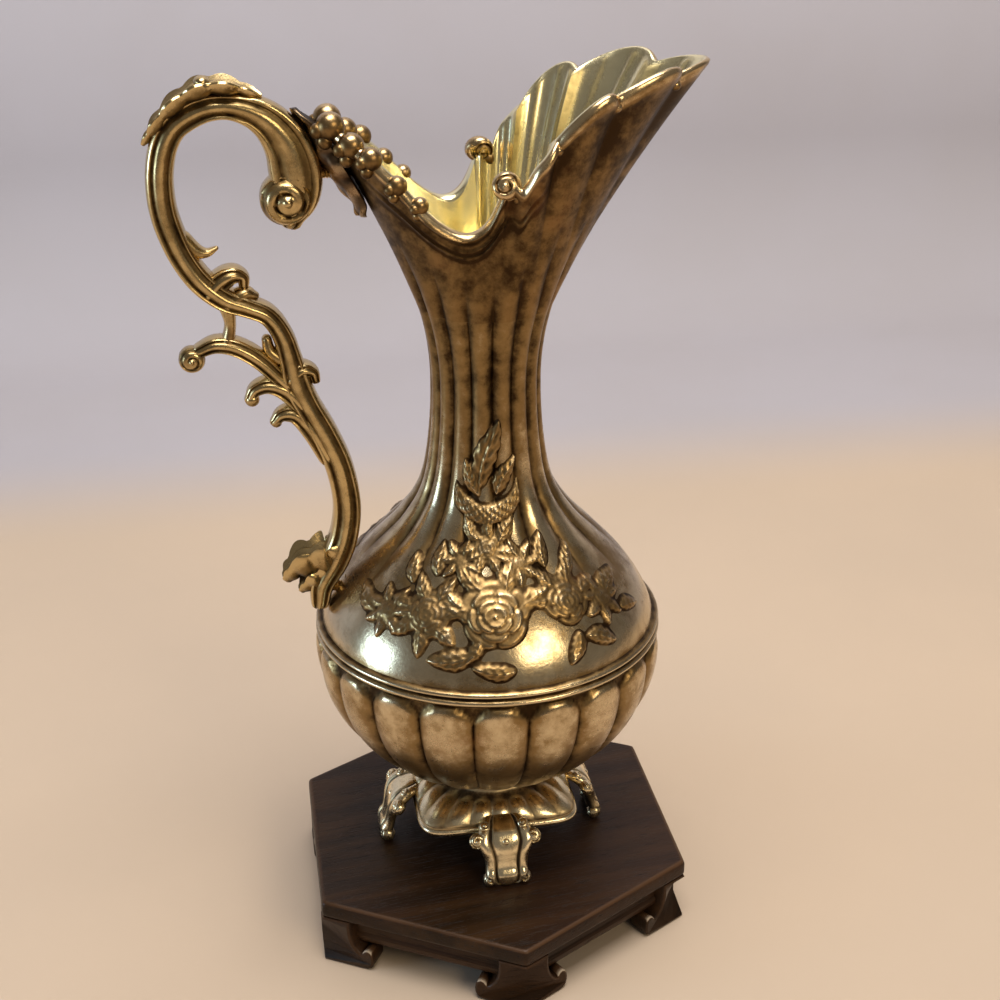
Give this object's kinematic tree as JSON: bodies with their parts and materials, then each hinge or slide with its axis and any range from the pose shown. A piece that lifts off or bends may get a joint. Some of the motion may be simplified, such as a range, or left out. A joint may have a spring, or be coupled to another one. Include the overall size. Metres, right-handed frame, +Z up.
{
  "type": "ornamental ewer on wooden stand",
  "caption": "Cast metal pouring jug with scroll handle and shell spout, four scroll feet, on a loose hexagonal wooden display stand with bracket feet.",
  "frame": {"origin": "middle of the object's outline in plan, on the surface the stand's feet rest on", "axes": "+Z up along the ewer's axis, +X towards the spout's tip, the handle is on the -X side"},
  "size_m": [0.139, 0.12, 0.2399],
  "materials": {
    "stained_wood": "satin, dark stained hardwood",
    "aged_brass_body": "polished pale brass with dark patina in the recesses",
    "bright_brass_mouth": "bright gilt inside, aged outside",
    "aged_brass_handle": "antique gold, dark in the recesses",
    "aged_brass_foot": "antique brass, dark in the recesses",
    "fastener_steel": "plain zinc-plated steel",
    "fastener_brass": "plain turned brass"
  },
  "bodies": {
    "stand": {"stand_top": "stained_wood", "apron_rail_1": "stained_wood", "apron_rail_2": "stained_wood", "apron_rail_3": "stained_wood", "apron_rail_4": "stained_wood", "apron_rail_5": "stained_wood", "apron_rail_6": "stained_wood", "bracket_foot_1": "stained_wood", "bracket_foot_2": "stained_wood", "bracket_foot_3": "stained_wood", "bracket_foot_4": "stained_wood", "bracket_foot_5": "stained_wood", "bracket_foot_6": "stained_wood"},
    "ewer": {"pedestal": "aged_brass_foot", "scroll_foot_1": "aged_brass_foot", "scroll_foot_2": "aged_brass_foot", "scroll_foot_3": "aged_brass_foot", "scroll_foot_4": "aged_brass_foot", "collar": "aged_brass_foot", "lower_bowl": "aged_brass_body", "belt_band": "aged_brass_body", "upper_body": "aged_brass_body", "spout_mouth": "bright_brass_mouth", "rim_volute_left": "bright_brass_mouth", "rim_volute_right": "bright_brass_mouth", "rim_berries_left": "bright_brass_mouth", "rim_berries_right": "bright_brass_mouth", "rose_spray_front": "aged_brass_body", "rose_spray_back": "aged_brass_body", "back_leaf": "aged_brass_handle", "handle": "aged_brass_handle", "handle_top_screw": "fastener_brass", "handle_bottom_screw": "fastener_brass", "foot_bolt": "fastener_steel", "foot_washer": "fastener_steel", "foot_nut": "fastener_brass"}
  },
  "joints": [
    {"name": "ewer_lift", "type": "slide", "parent": "stand", "child": "ewer", "axis": [0, 0, 1], "range_m": [0, 0.06]}
  ]
}
